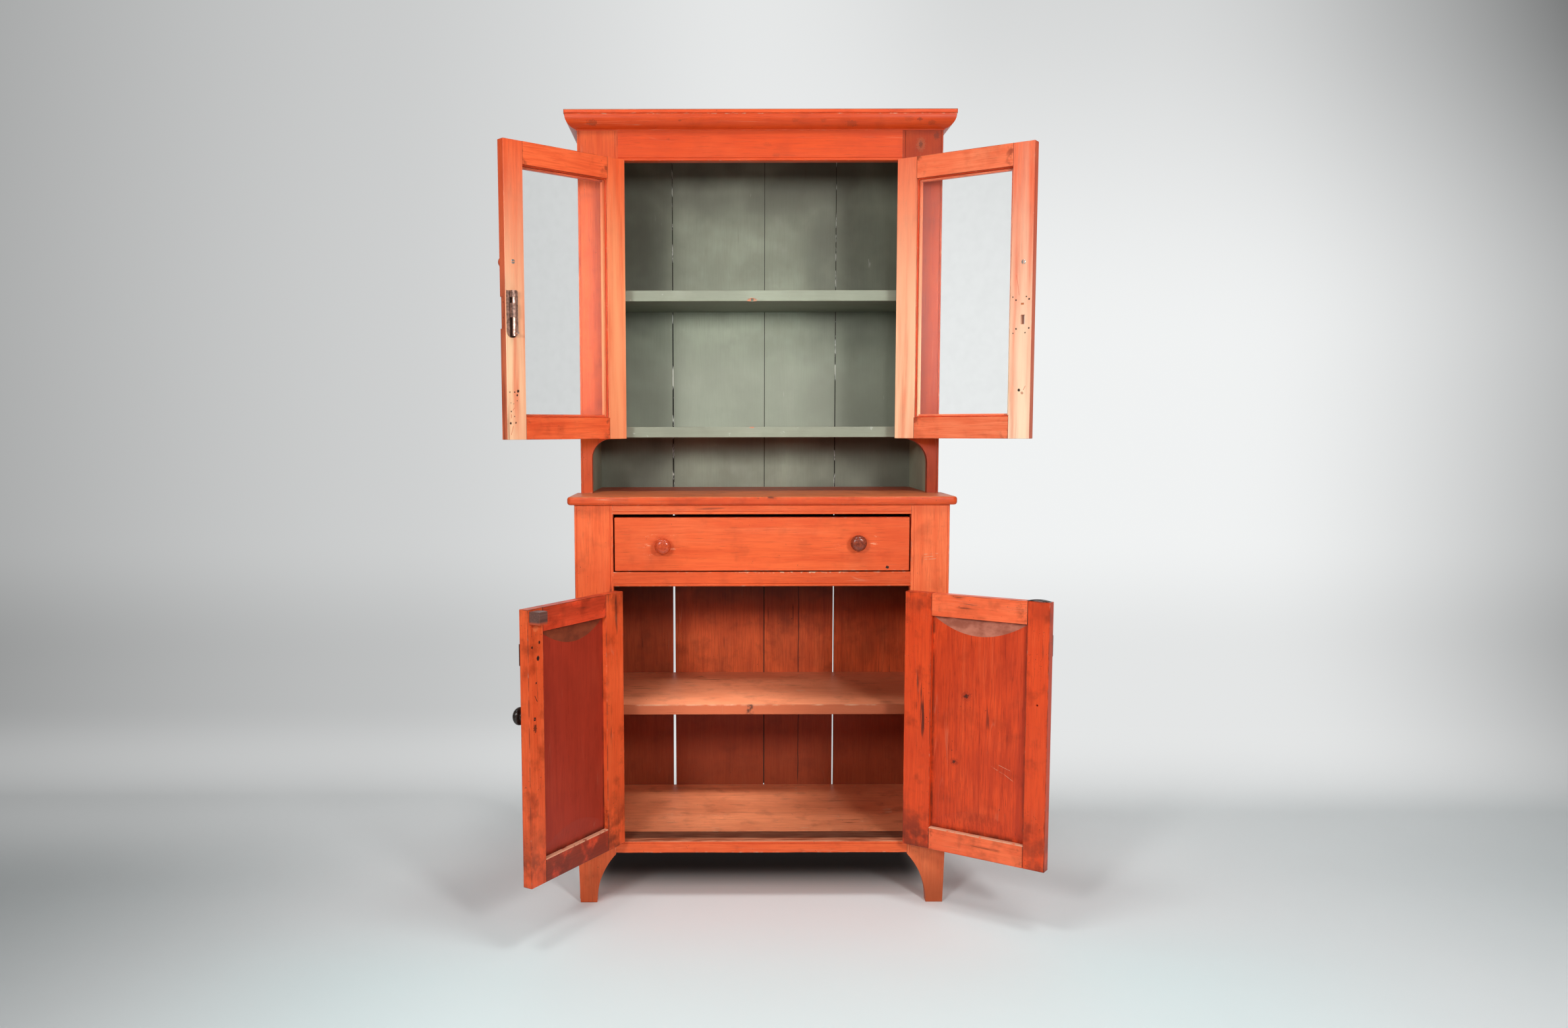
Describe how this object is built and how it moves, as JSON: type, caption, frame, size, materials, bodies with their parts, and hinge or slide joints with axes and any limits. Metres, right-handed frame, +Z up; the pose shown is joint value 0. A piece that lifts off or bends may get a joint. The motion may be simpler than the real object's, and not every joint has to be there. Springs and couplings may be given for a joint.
{
  "type": "hutch cupboard",
  "caption": "Painted step-back hutch cupboard with glazed doors over an open bay, a wide drawer and panelled doors, all on hinges and runners.",
  "frame": {"origin": "on the floor, at the middle of the lower case's width and depth", "axes": "+Z up, the front towards -Y, +X to the right seen from the front"},
  "size_m": [1.3232, 0.8695, 2.036],
  "materials": {
    "orange_paint": "satin painted wood",
    "worn_paint": "worn painted wood",
    "green_paint": "matt painted wood",
    "bare_wood": "bare aged wood",
    "brown_wood": "varnished wood",
    "black_paint": "satin painted wood",
    "glass": "clear",
    "dark_iron": "dark, aged",
    "dull_steel": "dull"
  },
  "bodies": {
    "case": {"side_left": "orange_paint", "side_right": "orange_paint", "back_boards": "bare_wood", "lower_stile_left": "orange_paint", "lower_stile_right": "orange_paint", "drawer_top_rail": "orange_paint", "drawer_rail": "orange_paint", "bottom_rail": "worn_paint", "counter_front_board": "worn_paint", "counter_rear_board": "orange_paint", "lower_floor_board": "bare_wood", "lower_shelf": "bare_wood", "drawer_runners": "bare_wood", "counter_cleats": "bare_wood", "upper_stile_left": "orange_paint", "upper_stile_right": "orange_paint", "frieze_rail": "orange_paint", "upper_bottom_shelf": "green_paint", "upper_middle_shelf": "green_paint", "top_board": "orange_paint", "cornice_front": "orange_paint", "cornice_returns": "orange_paint", "case_hinge_leaves": "dark_iron", "hinge_pins": "dark_iron"},
    "drawer": {"drawer_front": "orange_paint", "drawer_sides": "bare_wood", "drawer_back": "bare_wood", "drawer_bottom": "bare_wood", "drawer_knobs": "brown_wood"},
    "upper_left_door": {"upper_left_hinge_stile": "orange_paint", "upper_left_lock_stile": "orange_paint", "upper_left_rails": "orange_paint", "upper_left_glass": "glass", "upper_left_knob": "orange_paint", "upper_left_hinge_leaves": "dark_iron", "bolt_plate": "dark_iron"},
    "upper_right_door": {"upper_right_hinge_stile": "orange_paint", "upper_right_lock_stile": "orange_paint", "upper_right_rails": "orange_paint", "upper_right_glass": "glass", "upper_right_knob": "orange_paint", "upper_right_hinge_leaves": "dark_iron"},
    "lower_left_door": {"lower_left_hinge_stile": "orange_paint", "lower_left_lock_stile": "orange_paint", "lower_left_rails": "orange_paint", "lower_left_panel": "orange_paint", "lower_left_hinge_leaves": "dark_iron", "lower_left_knob": "black_paint", "lower_left_catch_block": "bare_wood", "lower_left_strike_plate": "dull_steel"},
    "lower_right_door": {"lower_right_hinge_stile": "orange_paint", "lower_right_lock_stile": "orange_paint", "lower_right_rails": "orange_paint", "lower_right_panel": "orange_paint", "lower_right_hinge_leaves": "dark_iron", "lower_right_top_spring": "dull_steel", "lower_right_latch_plate": "dull_steel"},
    "bolt": {"bolt_rod": "dark_iron"}
  },
  "joints": [
    {"name": "drawer_slide", "type": "slide", "parent": "case", "child": "drawer", "axis": [0, -1, 0], "range_m": [0, 0.33]},
    {"name": "upper_left_hinge", "type": "hinge", "parent": "case", "child": "upper_left_door", "pos_m": [-0.3667, -0.0978, 0], "axis": [0, 0, -1], "range_deg": [-138, 32]},
    {"name": "upper_right_hinge", "type": "hinge", "parent": "case", "child": "upper_right_door", "pos_m": [0.3667, -0.0978, 0], "axis": [0, 0, 1], "range_deg": [-145, 25]},
    {"name": "lower_left_hinge", "type": "hinge", "parent": "case", "child": "lower_left_door", "pos_m": [-0.3747, -0.2638, 0], "axis": [0, 0, -1], "range_deg": [-121, 49]},
    {"name": "lower_right_hinge", "type": "hinge", "parent": "case", "child": "lower_right_door", "pos_m": [0.3747, -0.2638, 0], "axis": [0, 0, 1], "range_deg": [-145, 25]},
    {"name": "bolt_slide", "type": "slide", "parent": "upper_left_door", "child": "bolt", "axis": [0, 0, 1], "range_m": [0, 0.033]}
  ]
}
